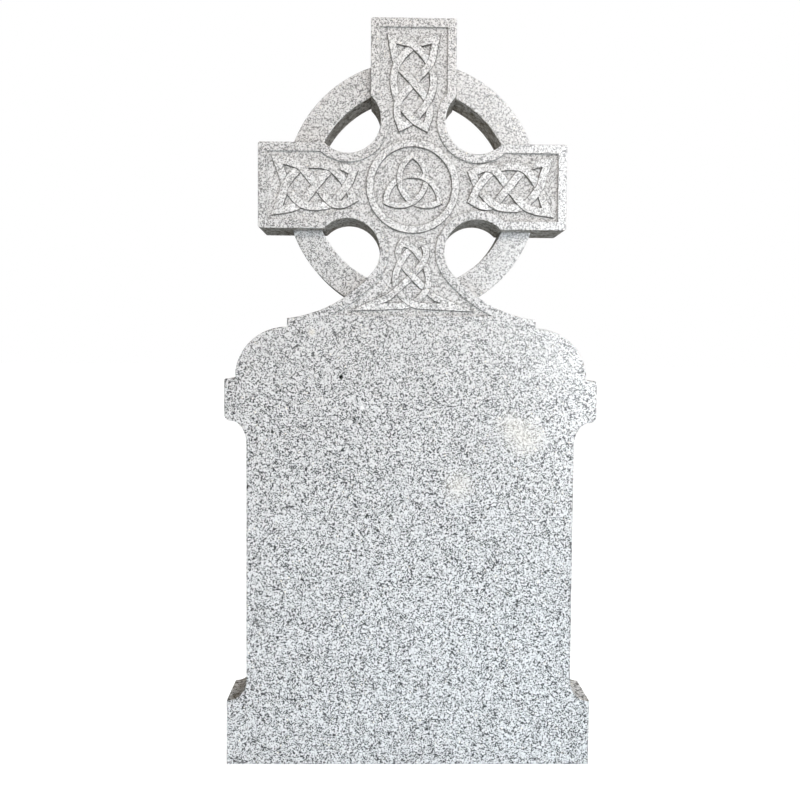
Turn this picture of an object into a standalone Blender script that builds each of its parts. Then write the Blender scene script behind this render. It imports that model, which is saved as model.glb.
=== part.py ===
"""Celtic cross headstone, cut from one slab of granite.

Metres, +Z up. The carved face looks towards -Y, the flat back towards +Y. The origin is on the
ground, under the middle of the slab. Outlines are drawn in the plane of the face, as (x, z) points.
"""

import math
from typing import NamedTuple

import bmesh
import bpy
from mathutils import Vector

# Slab
THICKNESS = 0.100

# Foot of the stone, with a cove up to the tablet on each side
BASE_WIDTH = 0.610
BASE_HEIGHT = 0.109
TABLET_WIDTH = 0.544

# Ears at the top of the tablet, each on a hollow moulding
EAR_WIDTH = 0.617
EAR_UNDERSIDE = 0.579
EAR_HEIGHT = 0.070
EAR_ROUND = 0.011
EAR_HOLLOW = 0.039
EAR_TOP_ROUND = 0.003

# Shoulders above the ears, and the low step that the cross stands on
LEDGE_WIDTH = 0.0173
SHOULDER_RADIUS = 0.086
STEP_HEIGHT = 0.0139

# Cross: its shaft and arms, and the round hollows between them
SHAFT_HEIGHT = 0.2171
HEAD_HEIGHT = 0.2708
ARM_SPAN = 0.5062
ARM_WIDTH = 0.1396
ARM_CORNER = 0.004
ARMPIT_RADIUS = 0.0535
ARMPIT_OFFSET = 0.1065
FOOT_LEAVE_ANGLE = math.radians(50)

# Ring behind the arms
RING_OUTER = 0.211
RING_INNER = 0.165
RING_RECESS = 0.028

# Sunk panel inside a plain border
BORDER_WIDTH = 0.0145
PANEL_DEPTH = 0.0055
PANEL_FOOT_MARGIN = 0.006

# Medallion at the crossing, and the three-lobed knot inside it
MEDALLION_OUTER = 0.0765
MEDALLION_INNER = 0.0640
EMBLEM_REACH = 0.0505
EMBLEM_STRAND = 0.0105

# Strands: how far their sides slope, how far one dips under another, and how deep they root
STRAND_DRAFT = 0.0006
STRAND_DIP = 0.0026
DIP_MARGIN = 0.0010
DIP_RAMP = 0.0080
ROOT_DEPTH = 0.0030
CUT_MARGIN = 0.0100

# How closely chords follow the outlines and the strands
ARC_SAG = 0.0002
STRAND_STEP = 0.0060

GRANITE_COLOUR = (0.56, 0.56, 0.55, 1.0)
GRANITE_ROUGHNESS = 0.45
SHARP_ANGLE = math.radians(30)

# Places along a plait, counted in crossings from its start
SHOULDER_TURN = 1.3
SWEEP_TURN = 4.7
RETURN_TURN = 5.2


class Knot(NamedTuple):
    """One arm's plait. Lengths run outwards from the cross's middle, half widths from the arm's."""

    quarter_turns: int
    strand: float
    start: float
    pitch: float
    inner_tip: tuple
    shoulder: float
    inner: float
    loop: float
    outer: float
    sweep: float
    side_return: float
    outer_tip: tuple


SIDE_KNOT = Knot(
    quarter_turns=0, strand=0.0140, start=0.0823, pitch=0.0252,
    inner_tip=(0.0974, 0.0220), shoulder=0.0305, inner=0.0280, loop=0.0340,
    outer=0.0295, sweep=0.0375, side_return=0.0170, outer_tip=(0.2220, 0.0410),
)
HEAD_KNOT = Knot(
    quarter_turns=1, strand=0.0130, start=0.0777, pitch=0.0299,
    inner_tip=(0.0960, 0.0200), shoulder=0.0265, inner=0.0240, loop=0.0325,
    outer=0.0265, sweep=0.0325, side_return=0.0190, outer_tip=(0.2370, 0.0360),
)
SHAFT_KNOT = Knot(
    quarter_turns=3, strand=0.0120, start=0.0768, pitch=0.02295,
    inner_tip=(0.0915, 0.0165), shoulder=0.0230, inner=0.0185, loop=0.0270,
    outer=0.0240, sweep=0.0440, side_return=0.0360, outer_tip=(0.1975, 0.0750),
)
KNOTS = (SIDE_KNOT, HEAD_KNOT, SIDE_KNOT._replace(quarter_turns=2), SHAFT_KNOT)

FRONT = -THICKNESS / 2
BACK = THICKNESS / 2
PANEL_FLOOR = FRONT + PANEL_DEPTH
EAR_TOP = EAR_UNDERSIDE + EAR_HEIGHT
STEP_HALF = EAR_WIDTH / 2 - LEDGE_WIDTH - SHOULDER_RADIUS
STEP_TOP = EAR_TOP + SHOULDER_RADIUS + STEP_HEIGHT
CROSS_Z = STEP_TOP + SHAFT_HEIGHT
QUARTER = math.pi / 2


def arc(centre, radius, start, end):
    """Points along an arc, or a part of an ellipse where radius is a pair."""
    rx, rz = radius if isinstance(radius, tuple) else (radius, radius)
    turn = 2 * math.acos(1 - ARC_SAG / max(rx, rz))
    count = max(2, math.ceil(abs(end - start) / turn))
    angles = [start + (end - start) * i / count for i in range(count + 1)]
    return [(centre[0] + rx * math.cos(a), centre[1] + rz * math.sin(a)) for a in angles]


def foot_sweep():
    """Centre and radius of the arc from the step's corner up to the hollow under the arm."""
    leave = Vector((
        ARMPIT_OFFSET - ARMPIT_RADIUS * math.sin(FOOT_LEAVE_ANGLE),
        CROSS_Z - ARMPIT_OFFSET - ARMPIT_RADIUS * math.cos(FOOT_LEAVE_ANGLE),
    ))
    chord = Vector((STEP_HALF, STEP_TOP)) - leave
    fall = math.atan2(-chord.y, chord.x)
    radius = chord.length / (2 * math.sin(FOOT_LEAVE_ANGLE - fall))
    centre = leave + radius * Vector((math.sin(FOOT_LEAVE_ANGLE), math.cos(FOOT_LEAVE_ANGLE)))
    return centre, radius


def arm_corner(x, z, radius, start):
    """Points round an arm's corner from the angle start on, or the corner alone where it is sharp."""
    if radius == 0.0:
        return [(x, z)]
    middle = start + QUARTER / 2
    reach = radius * math.sqrt(2)
    centre = (x - reach * math.cos(middle), z - reach * math.sin(middle))
    return arc(centre, radius, start, start + QUARTER)


def cross_half(border, foot_z, corner):
    """Right half of the cross from its foot to its top, drawn in by the border's width."""
    centre, radius = foot_sweep()
    radius += border
    foot_x = centre.x - math.sqrt(radius ** 2 - (centre.y - foot_z) ** 2)
    foot_angle = math.atan2(foot_z - centre.y, foot_x - centre.x)
    leave_angle = -QUARTER - FOOT_LEAVE_ANGLE
    arm = ARM_WIDTH / 2 - border
    hollow = ARMPIT_RADIUS + border
    reach = math.sqrt(hollow ** 2 - (ARMPIT_OFFSET - arm) ** 2)
    meet = math.atan2(ARMPIT_OFFSET - arm, reach)
    end = ARM_SPAN / 2 - border
    top = CROSS_Z + HEAD_HEIGHT - border
    points = arc(centre, radius, foot_angle, leave_angle)
    points += arc((ARMPIT_OFFSET, CROSS_Z - ARMPIT_OFFSET), hollow, leave_angle, meet - 4 * QUARTER)[1:]
    points += arm_corner(end, CROSS_Z - arm, corner, -QUARTER)
    points += arm_corner(end, CROSS_Z + arm, corner, 0.0)
    points += arc((ARMPIT_OFFSET, CROSS_Z + ARMPIT_OFFSET), hollow, -meet, meet - 3 * QUARTER)
    points += arm_corner(arm, top, corner, 0.0)
    return points


def tablet_half():
    """Right half of the stone below the cross, from the ground up to the top of the step."""
    cove = (BASE_WIDTH - TABLET_WIDTH) / 2
    ear = EAR_WIDTH / 2
    hollow_x = ear - EAR_ROUND
    hollow = (hollow_x - TABLET_WIDTH / 2, EAR_HOLLOW)
    points = [(BASE_WIDTH / 2, 0.0)]
    points += arc((BASE_WIDTH / 2, BASE_HEIGHT + cove), cove, -QUARTER, -2 * QUARTER)
    points += arc((hollow_x, EAR_UNDERSIDE - EAR_HOLLOW), hollow, 2 * QUARTER, QUARTER)
    points += arc((hollow_x, EAR_UNDERSIDE + EAR_ROUND), EAR_ROUND, -QUARTER, 0.0)[1:]
    points += arc((ear - EAR_TOP_ROUND, EAR_TOP - EAR_TOP_ROUND), EAR_TOP_ROUND, 0.0, QUARTER)
    points += arc((STEP_HALF, EAR_TOP), SHOULDER_RADIUS, 0.0, QUARTER)
    return points


def both_sides(half):
    """A closed outline from its right half."""
    return half + [(-x, z) for x, z in reversed(half)]


def slab(name, outline, front, back):
    """A solid with the given outline, from the front plane to the back plane."""
    bm = bmesh.new()
    face = bm.faces.new([bm.verts.new((x, front, z)) for x, z in outline])
    extruded = bmesh.ops.extrude_face_region(bm, geom=[face], use_keep_orig=True)["geom"]
    moved = [item for item in extruded if isinstance(item, bmesh.types.BMVert)]
    bmesh.ops.translate(bm, vec=(0.0, back - front, 0.0), verts=moved)
    return new_object(name, bm)


def turned_ring(bm, inner, outer, front, back):
    """Spin a rectangular profile once about the axis through the cross's middle."""
    corners = ((inner, front), (outer, front), (outer, back), (inner, back))
    verts = [bm.verts.new((radius, y, CROSS_Z)) for radius, y in corners]
    edges = [bm.edges.new((verts[i], verts[i - 1])) for i in range(len(verts))]
    steps = math.ceil(4 * QUARTER / (2 * math.acos(1 - ARC_SAG / outer)))
    bmesh.ops.spin(
        bm, geom=verts + edges, cent=(0.0, 0.0, CROSS_Z), axis=(0.0, 1.0, 0.0),
        angle=4 * QUARTER, steps=steps, use_merge=True,
    )


def new_object(name, bm):
    """Turn a bmesh into an object in the scene, with its faces pointing out."""
    bmesh.ops.recalc_face_normals(bm, faces=bm.faces)
    mesh = bpy.data.meshes.new(name)
    bm.to_mesh(mesh)
    bm.free()
    obj = bpy.data.objects.new(name, mesh)
    bpy.context.collection.objects.link(obj)
    return obj


class Stretch(NamedTuple):
    """Part of a strand from one pointed tip to the next, with the places where it passes under."""

    points: list
    unders: tuple


def knot_stretches(knot):
    """The four stretches of a plait's single strand, in order round it."""

    def along(turn):
        return knot.start + knot.pitch * turn

    def long_way(side):
        return [
            (knot.inner_tip[0], side * knot.inner_tip[1]),
            (along(SHOULDER_TURN), side * knot.shoulder),
            (along(2), side * knot.inner),
            (along(3), 0.0),
            (along(4), -side * knot.outer),
            (along(SWEEP_TURN), -side * knot.sweep),
            (knot.outer_tip[0], -side * knot.outer_tip[1]),
        ]

    def looped_way(side):
        return [
            (knot.outer_tip[0], -side * knot.outer_tip[1]),
            (along(RETURN_TURN), -side * knot.side_return),
            (along(5), 0.0),
            (along(4), side * knot.outer),
            (along(3), side * knot.loop),
            (along(2), side * knot.inner),
            (along(1), 0.0),
            (knot.inner_tip[0], -side * knot.inner_tip[1]),
        ]

    return [
        Stretch(long_way(1), (3,)),
        Stretch(looped_way(1), (2, 5)),
        Stretch(long_way(-1), (2, 4)),
        Stretch(looped_way(-1), (3, 6)),
    ]


def emblem_stretches():
    """Three half circles, each from one tip to the next, crossing one another near the middle."""
    radius = EMBLEM_REACH * math.sqrt(3) / 2
    offset = radius / math.sqrt(3)
    stretches = []
    for lobe in range(3):
        heading = -QUARTER - lobe * 4 * QUARTER / 3
        centre = (offset * math.cos(heading), offset * math.sin(heading))
        tip, over, under, last = (heading + QUARTER + third * 2 * QUARTER / 3 for third in range(4))
        points = arc(centre, radius, tip, over)
        points += arc(centre, radius, over, under)[1:]
        under_index = len(points) - 1
        points += arc(centre, radius, under, last)[1:]
        stretches.append(Stretch(points, (under_index,)))
    return stretches


def smooth_path(points):
    """A smooth curve through the points, and the place of each of them along it."""
    ends = [[2 * a - b for a, b in zip(points[i], points[j])] for i, j in ((0, 1), (-1, -2))]
    knots = [Vector(p) for p in [ends[0], *points, ends[1]]]
    path = [knots[1]]
    places = [0]
    for before, start, end, after in zip(knots, knots[1:], knots[2:], knots[3:]):
        span = (end - start).length
        count = max(1, math.ceil(span / STRAND_STEP))
        leave = (end - before) * span / ((end - start).length + (start - before).length)
        arrive = (after - start) * span / ((end - start).length + (after - end).length)
        for i in range(1, count + 1):
            t = i / count
            path.append(
                start * (2 * t ** 3 - 3 * t ** 2 + 1) + leave * (t ** 3 - 2 * t ** 2 + t)
                + end * (3 * t ** 2 - 2 * t ** 3) + arrive * (t ** 3 - t ** 2)
            )
        places.append(len(path) - 1)
    return path, places


def dip_at(distance, half_width):
    """How far the strand's top lies below the face, this far from where it passes under."""
    rise = (distance - half_width - DIP_MARGIN) / DIP_RAMP
    rise = min(1.0, max(0.0, rise))
    return STRAND_DIP * (1 - rise * rise * (3 - 2 * rise))


def strand_stations(stretches, width):
    """Points round the whole strand as (place, dip), without those that a tip's mitre would fold."""
    half = width / 2
    stations = []
    for stretch in stretches:
        path, places = smooth_path(stretch.points)
        lengths = [0.0]
        for a, b in zip(path, path[1:]):
            lengths.append(lengths[-1] + (b - a).length)
        unders = [lengths[places[i]] for i in stretch.unders]
        first_fold = tip_fold(path[0], path[2], stretches, stretch, False, half)
        last_fold = tip_fold(path[-1], path[-3], stretches, stretch, True, half)
        stations.append((path[0], 0.0))
        for point, length in zip(path[1:-1], lengths[1:-1]):
            if first_fold < length < lengths[-1] - last_fold:
                dip = max(dip_at(abs(length - under), half) for under in unders)
                stations.append((point, dip))
    return stations


def tip_fold(tip, inward, stretches, stretch, at_end, half):
    """Length beside a tip that the inner side of the strand's mitre takes up."""
    index = stretches.index(stretch)
    other = stretches[(index + 1) % len(stretches)] if at_end else stretches[index - 1]
    path, _ = smooth_path(other.points)
    neighbour = path[2] if at_end else path[-3]
    opening = (inward - tip).angle(neighbour - tip)
    return (half + STRAND_DRAFT) / math.tan(opening / 2)


def add_strand(bm, stations, width, quarter_turns):
    """Sweep a tapered profile round the closed strand, its top dipping where it passes under."""
    sections = []
    count = len(stations)
    for i, (point, dip) in enumerate(stations):
        before = (point - stations[i - 1][0]).normalized()
        after = (stations[(i + 1) % count][0] - point).normalized()
        tangent = (before + after).normalized()
        side = Vector((-tangent.y, tangent.x))
        mitre = side / side.dot(Vector((-after.y, after.x)))
        profile = (
            (width / 2 - STRAND_DRAFT, FRONT + dip), (-width / 2 + STRAND_DRAFT, FRONT + dip),
            (-width / 2 - STRAND_DRAFT, PANEL_FLOOR + ROOT_DEPTH),
            (width / 2 + STRAND_DRAFT, PANEL_FLOOR + ROOT_DEPTH),
        )
        section = []
        for offset, y in profile:
            u, v = point + mitre * offset
            x, z = turned(u, v, quarter_turns)
            section.append(bm.verts.new((x, y, CROSS_Z + z)))
        sections.append(section)
    for i, section in enumerate(sections):
        last = sections[i - 1]
        for j in range(len(section)):
            bm.faces.new((last[j - 1], last[j], section[j], section[j - 1]))


def turned(u, v, quarter_turns):
    """A point turned about the middle of the cross by whole quarter turns."""
    for _ in range(quarter_turns):
        u, v = -v, u
    return u, v


def carving():
    """Everything raised inside the panel: the medallion's rim and emblem, and the four knots."""
    bm = bmesh.new()
    turned_ring(bm, MEDALLION_INNER, MEDALLION_OUTER, FRONT, PANEL_FLOOR + ROOT_DEPTH)
    add_strand(bm, strand_stations(emblem_stretches(), EMBLEM_STRAND), EMBLEM_STRAND, 0)
    for knot in KNOTS:
        stations = strand_stations(knot_stretches(knot), knot.strand)
        add_strand(bm, stations, knot.strand, knot.quarter_turns)
    return new_object("carving", bm)


def ring():
    """The ring that joins the arms, set back from the face and flush with the back."""
    bm = bmesh.new()
    turned_ring(bm, RING_INNER, RING_OUTER, FRONT + RING_RECESS, BACK)
    return new_object("ring", bm)


def combine(target, operation, tool):
    """Add or cut one solid with another, which stays in the scene as a hidden guide."""
    modifier = target.modifiers.new(f"{operation.lower()} {tool.name}", "BOOLEAN")
    modifier.operation = operation
    modifier.solver = "EXACT"
    modifier.use_self = True
    modifier.object = tool
    tool.hide_render = True
    tool.display_type = "WIRE"


def granite():
    """Pale grey granite."""
    material = bpy.data.materials.new("granite")
    material.use_nodes = True
    shader = material.node_tree.nodes["Principled BSDF"]
    shader.inputs["Base Color"].default_value = GRANITE_COLOUR
    shader.inputs["Roughness"].default_value = GRANITE_ROUGHNESS
    shader.inputs["Metallic"].default_value = 0.0
    return material


def main():
    """Build the headstone."""
    for obj in list(bpy.data.objects):
        bpy.data.objects.remove(obj)
    cross = cross_half(0.0, STEP_TOP, ARM_CORNER)
    stone = slab("headstone", both_sides(tablet_half() + cross), FRONT, BACK)
    panel_outline = both_sides(cross_half(BORDER_WIDTH, STEP_TOP + PANEL_FOOT_MARGIN, 0.0))
    panel = slab("panel", panel_outline, FRONT - CUT_MARGIN, PANEL_FLOOR)
    combine(stone, "UNION", ring())
    combine(stone, "DIFFERENCE", panel)
    combine(stone, "UNION", carving())
    stone.data.materials.append(granite())
    stone.data.shade_smooth()
    stone.data.set_sharp_from_angle(angle=SHARP_ANGLE)


main()
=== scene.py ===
"""Looks of a cross headstone, cut and carved from one slab of pale grey granite.

Metres, +Z up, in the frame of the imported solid: the carved face looks towards -Y and the stone
stands on the ground at Z = 0. The slab is drawn as half an outline and mirrored, the panel is sunk
into its face, and the knots are swept along their centre lines.
"""

import logging
import math
from collections.abc import Callable, Sequence
from dataclasses import dataclass, field, replace
from enum import Enum

import bmesh
import bpy
from mathutils import Matrix, Vector


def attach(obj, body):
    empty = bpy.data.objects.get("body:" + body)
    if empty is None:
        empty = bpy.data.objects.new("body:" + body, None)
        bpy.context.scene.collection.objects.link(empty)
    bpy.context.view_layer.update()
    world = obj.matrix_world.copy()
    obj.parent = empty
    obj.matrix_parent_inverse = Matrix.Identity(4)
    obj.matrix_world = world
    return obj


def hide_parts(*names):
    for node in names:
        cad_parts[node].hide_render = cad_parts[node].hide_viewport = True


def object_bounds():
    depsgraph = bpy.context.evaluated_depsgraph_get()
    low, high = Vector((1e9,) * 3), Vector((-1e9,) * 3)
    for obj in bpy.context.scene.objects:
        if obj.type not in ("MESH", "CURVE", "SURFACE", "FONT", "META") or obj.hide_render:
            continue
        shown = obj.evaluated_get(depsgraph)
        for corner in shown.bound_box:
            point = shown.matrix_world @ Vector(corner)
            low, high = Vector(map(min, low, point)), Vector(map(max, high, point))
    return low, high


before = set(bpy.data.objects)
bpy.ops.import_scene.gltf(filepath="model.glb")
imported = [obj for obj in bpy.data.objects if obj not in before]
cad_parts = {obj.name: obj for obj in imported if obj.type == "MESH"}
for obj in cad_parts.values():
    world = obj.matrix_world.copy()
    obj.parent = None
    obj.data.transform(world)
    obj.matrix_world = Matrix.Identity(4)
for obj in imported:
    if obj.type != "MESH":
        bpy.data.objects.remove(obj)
cad_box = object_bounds()

LOG = logging.getLogger("headstone")
NODE = "headstone"
BODY = "root"

Point = tuple[float, float]
Colour = tuple[float, float, float]

QUARTER = math.pi / 2
WHITE = (1.0, 1.0, 1.0)

# Points that lie this near one another are taken as one
TOLERANCE = 1e-5

# How far a chord may lie inside its arc, the fewest chords in an arc, and the steps of a rounded edge
SAG = 0.00006
LEAST_CHORDS = 3
ROUND_STEPS = 3

# Edges that turn less than this are shaded smooth, and large faces lead the shading there
SMOOTH_ANGLE = math.radians(32)
LARGE_FACES_LEAD = 100

# How squarely a face looks along Y where it counts as front or back: on the slab, and on the carving
FLAT = 0.5
LEVEL = 0.8


class Finish(Enum):
    """How a face of the stone is worked, or where shade is painted on it. The value is the place of its
    material on the piece.
    """

    POLISHED = 0
    HONED = 1
    SAWN = 2
    CARVED = 3
    # Painted shade on the carving's side walls
    SHADED_FLANK = 4


# Finishes: granite, worked in four ways, and darkened with painted shade on the carving's flanks

class Graph:
    """A material's or a world's nodes, added and wired one at a time.

    Attributes:
        MIX_SOCKETS: Where a colour mix takes its share and its two colours.
        MIX_RESULT: Where it gives the result.
        NOISE_MEAN: The mean of a noise's colour.
    """

    MIX_SOCKETS = (0, 6, 7)
    MIX_RESULT = 2
    NOISE_MEAN = (0.5, 0.5, 0.5)

    def __init__(self, tree: bpy.types.NodeTree) -> None:
        """Start on an empty tree."""
        self.tree = tree
        tree.nodes.clear()

    def add(
        self, kind: str, inputs: dict[str | int, object] | None = None, **settings: object,
    ) -> bpy.types.Node:
        """Add a node.

        Args:
            kind: The node's type, without its ShaderNode prefix.
            inputs: Sockets by name or place, each with a value or with an output to wire to it.
            settings: Properties of the node.

        Returns:
            The new node.
        """
        node = self.tree.nodes.new("ShaderNode" + kind)
        for name, value in settings.items():
            setattr(node, name, value)
        for key, value in (inputs or {}).items():
            if isinstance(value, bpy.types.NodeSocket):
                self.tree.links.new(value, node.inputs[key])
            else:
                node.inputs[key].default_value = value
        return node

    def math(self, operation: str, *values: object) -> bpy.types.NodeSocket:
        """Combine numbers or outputs by one operation, and give its output."""
        return self.add("Math", dict(enumerate(values)), operation=operation).outputs[0]

    def noise(self, place: bpy.types.NodeSocket, size: float, detail: float) -> bpy.types.Node:
        """Add noise whose largest blots are about this size, with this many finer layers."""
        return self.add("TexNoise", {"Vector": place, "Scale": 1 / size, "Detail": detail})

    def step(self, value: bpy.types.NodeSocket, low: object, high: object) -> bpy.types.NodeSocket:
        """Rise from 0 at low to 1 at high."""
        return self.add("MapRange", {"Value": value, "From Min": low, "From Max": high}).outputs[0]

    def mix(self, share: object, one: object, other: object) -> bpy.types.NodeSocket:
        """Blend from one colour to the other as the share goes from 0 to 1."""
        inputs = dict(zip(self.MIX_SOCKETS, (share, one, other)))
        return self.add("Mix", inputs, data_type="RGBA").outputs[self.MIX_RESULT]


def rgba(colour: Colour) -> tuple[float, float, float, float]:
    """Give a colour its alpha."""
    return (*colour, 1.0)


@dataclass(frozen=True)
class Minerals:
    """The crystals that granite is made of, as linear colours, with their sizes in metres.

    Attributes:
        feldspar: The lightest of the pale crystals.
        shade: The darkest of the pale crystals.
        quartz: The grey crystals.
        mica: The black flecks.
        cream: The rare warm crystals.
        crystal: Size of a crystal.
        fleck: Size of a fleck of mica.
        cluster: Size of the patches between which mica gathers.
        clump: Size of the stretches that hold more mica, or less.
        quartz_share: Share of the crystals that are quartz.
        mica_least: Share of mica away from the seams between the patches.
        mica_most: Share of mica in the seams.
        mica_sway: How far that share rises and falls from clump to clump.
        seam: How far a seam reaches into a patch, in patches.
        cream_share: Share of the crystals that are cream.
    """

    feldspar: Colour = (0.735, 0.735, 0.73)
    shade: Colour = (0.65, 0.65, 0.645)
    quartz: Colour = (0.46, 0.46, 0.46)
    mica: Colour = (0.010, 0.010, 0.011)
    cream: Colour = (0.82, 0.77, 0.66)
    crystal: float = 0.0020
    fleck: float = 0.0015
    cluster: float = 0.0062
    clump: float = 0.0120
    quartz_share: float = 0.14
    mica_least: float = 0.11
    mica_most: float = 0.50
    mica_sway: float = 0.7
    seam: float = 0.30
    cream_share: float = 0.006


@dataclass(frozen=True)
class FaceSpot:
    """A spot of colour laid on the face.

    Attributes:
        place: Its middle, as (x, z).
        radius: Where it has faded out.
        colour: Its linear colour.
        strength: How much of the stone's colour it covers at its middle. Past 1, its core is solid.
    """

    place: Point
    radius: float
    colour: Colour
    strength: float

    def paint(
        self, graph: Graph, place: bpy.types.NodeSocket, colour: bpy.types.NodeSocket,
    ) -> bpy.types.NodeSocket:
        """Lay the spot over a colour.

        Args:
            graph: The material's nodes.
            place: Where on the piece a point lies.
            colour: The stone's own colour there.

        Returns:
            The colour with the spot on it.
        """
        middle = (self.place[0], cad_box[0].y, self.place[1])
        away = graph.add("VectorMath", {0: place, 1: middle}, operation="DISTANCE").outputs["Value"]
        near = graph.step(away, self.radius, 0.0)
        return graph.mix(graph.math("MULTIPLY", near, self.strength), colour, rgba(self.colour))


CREAM = (0.82, 0.77, 0.68)
BLACK_FLECK = FaceSpot(
    place=(-0.1159, 0.6527), radius=0.0040, colour=(0.002, 0.002, 0.002), strength=4.0,
)
# Spots on the face: a black fleck, white specks and pale cream patches
FACE_SPOTS = (
    BLACK_FLECK,
    FaceSpot(place=(0.1900, 0.5530), radius=0.0400, colour=CREAM, strength=0.45),
    FaceSpot(place=(0.1650, 0.5750), radius=0.0300, colour=CREAM, strength=0.30),
    FaceSpot(place=(0.2110, 0.5850), radius=0.0050, colour=(0.92, 0.91, 0.87), strength=1.0),
    FaceSpot(place=(0.0800, 0.4720), radius=0.0320, colour=CREAM, strength=0.40),
    FaceSpot(place=(-0.1640, 0.7265), radius=0.0080, colour=CREAM, strength=0.60),
    FaceSpot(place=(-0.0810, 0.6020), radius=0.0060, colour=(0.88, 0.88, 0.87), strength=1.2),
)


@dataclass(frozen=True)
class Granite:
    """One finish of the granite: a way of working it, or shade painted on it.

    Attributes:
        finish: Which faces it is for.
        bruise_and_shade_share: How far the crystals turn to one colour, from 0 to 1: the tool's bruises on
            the worked faces, painted shade on the flanks, and both on the sawn sides.
        bruise_and_shade: That colour.
        rough: The surface's roughness.
        relief: Height of the tooled surface's grain, in metres.
        grain: Size of the tooled grain, in metres.
        head_fade: How much further the crystals turn to that colour from the ears up, over the cross.
        head: Heights between which that sets in.
        mica_rough: How much rougher mica is than the rest.
        refraction: The stone's index of refraction.
        dust_and_shade: How far the deepest corners darken, from 0 to 1: painted shade, with dust.
        dust_and_shade_colour: The colour they darken to.
        dust_and_shade_reach: How near a wall must stand for a corner to darken, in metres.
        dust_and_shade_samples: How many times a point looks for such a wall.
        stain: How much the darkest stains cover, from 0 to 1.
        stained: The stains' colour.
        stain_size: Their size, in metres.
        stain_edge: Strengths of the noise between which a stain sets in.
        face_spots: Spots of colour laid on its face.
        minerals: What it is made of.
    """

    finish: Finish
    bruise_and_shade_share: float
    bruise_and_shade: Colour
    rough: float
    relief: float
    grain: float
    head_fade: float = 0.22
    head: Point = (0.62, 0.86)
    mica_rough: float = 0.10
    refraction: float = 1.53
    dust_and_shade: float = 0.45
    dust_and_shade_colour: Colour = (0.045, 0.042, 0.034)
    dust_and_shade_reach: float = 0.0045
    dust_and_shade_samples: int = 6
    stain: float = 0.0
    stained: Colour = (0.135, 0.105, 0.065)
    stain_size: float = 0.020
    stain_edge: Point = (0.46, 0.66)
    face_spots: tuple[FaceSpot, ...] = ()
    minerals: Minerals = Minerals()

    @property
    def name(self) -> str:
        """Name of the material."""
        return "granite_" + self.finish.name.lower()

    def material(self) -> bpy.types.Material:
        """Make the material.

        Returns:
            A stone that reads the piece's own coordinates, so that its crystals run through it.
        """
        material = bpy.data.materials.new(self.name)
        material.use_nodes = True
        graph = Graph(material.node_tree)
        place = graph.add("TexCoord").outputs["Object"]
        colour, mica = self.colour(graph, place)
        for face_spot in self.face_spots:
            colour = face_spot.paint(graph, place, colour)
        if self.stain:
            blots = graph.noise(place, self.stain_size, detail=4.0).outputs[0]
            share = graph.math("MULTIPLY", graph.step(blots, *self.stain_edge), self.stain)
            colour = graph.mix(share, colour, rgba(self.stained))
        # Painted shade, with dust: where ambient occlusion finds walls close by, the colour darkens
        corners = graph.add("AmbientOcclusion", {"Distance": self.dust_and_shade_reach}, samples=self.dust_and_shade_samples)
        free_of_dust_and_shade = graph.step(corners.outputs["AO"], 0.0, 1.0)
        colour = graph.mix(free_of_dust_and_shade, graph.mix(self.dust_and_shade, colour, rgba(self.dust_and_shade_colour)), colour)
        tooled = graph.noise(place, self.grain, detail=3.0).outputs[0]
        bump = graph.add("Bump", {"Height": tooled, "Strength": 1.0, "Distance": self.relief})
        rough = graph.math("MULTIPLY_ADD", mica, self.mica_rough, self.rough)
        shader = graph.add("BsdfPrincipled", {
            "Base Color": colour, "Roughness": rough, "IOR": self.refraction, "Normal": bump.outputs[0],
        })
        graph.add("OutputMaterial", {0: shader.outputs[0]})
        return material

    def colour(self, graph: Graph, place: bpy.types.NodeSocket) -> tuple[bpy.types.NodeSocket, ...]:
        """Lay out the crystals.

        Args:
            graph: The material's nodes.
            place: Where on the piece a point lies.

        Returns:
            The stone's colour, and the share of dark mica at the point.
        """
        mix = self.minerals
        wobble = graph.noise(place, mix.crystal, detail=1.0)
        off = graph.add("VectorMath", {0: wobble.outputs[1], 1: graph.NOISE_MEAN}, operation="SUBTRACT")
        off = graph.add("VectorMath", {0: off.outputs[0], "Scale": mix.crystal}, operation="SCALE")
        bent = graph.add("VectorMath", {0: place, 1: off.outputs[0]}).outputs[0]
        crystals = graph.add("TexVoronoi", {"Vector": bent, "Scale": 1 / mix.crystal})
        flecks = graph.add("TexVoronoi", {"Vector": bent, "Scale": 1 / mix.fleck})
        kind = graph.add("SeparateColor", {0: crystals.outputs["Color"]})
        fleck = graph.add("SeparateColor", {0: flecks.outputs["Color"]})
        seams = graph.add(
            "TexVoronoi", {"Vector": bent, "Scale": 1 / mix.cluster}, feature="DISTANCE_TO_EDGE",
        ).outputs["Distance"]
        colour = graph.mix(kind.outputs[1], rgba(mix.shade), rgba(mix.feldspar))
        quartz = graph.math("LESS_THAN", kind.outputs[0], mix.quartz_share)
        colour = graph.mix(quartz, colour, rgba(mix.quartz))
        cream = graph.math("LESS_THAN", kind.outputs[2], mix.cream_share)
        colour = graph.mix(cream, colour, rgba(mix.cream))
        gather = graph.step(seams, mix.seam, 0.0)
        limit = graph.math("MULTIPLY_ADD", gather, mix.mica_most - mix.mica_least, mix.mica_least)
        clumps = graph.noise(place, mix.clump, detail=2.0).outputs[0]
        sway = graph.math("MULTIPLY_ADD", clumps, 2 * mix.mica_sway, 1 - mix.mica_sway)
        limit = graph.math("MULTIPLY", limit, sway)
        mica = graph.math("LESS_THAN", fleck.outputs[0], limit)
        colour = graph.mix(mica, colour, rgba(mix.mica))
        height = graph.add("SeparateXYZ", {0: place}).outputs["Z"]
        head = graph.math("MULTIPLY", graph.step(height, *self.head), self.head_fade)
        return graph.mix(graph.math("ADD", head, self.bruise_and_shade_share), colour, rgba(self.bruise_and_shade)), mica


# The polished face darkens fully in its corners: painted shade, with dust
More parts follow.
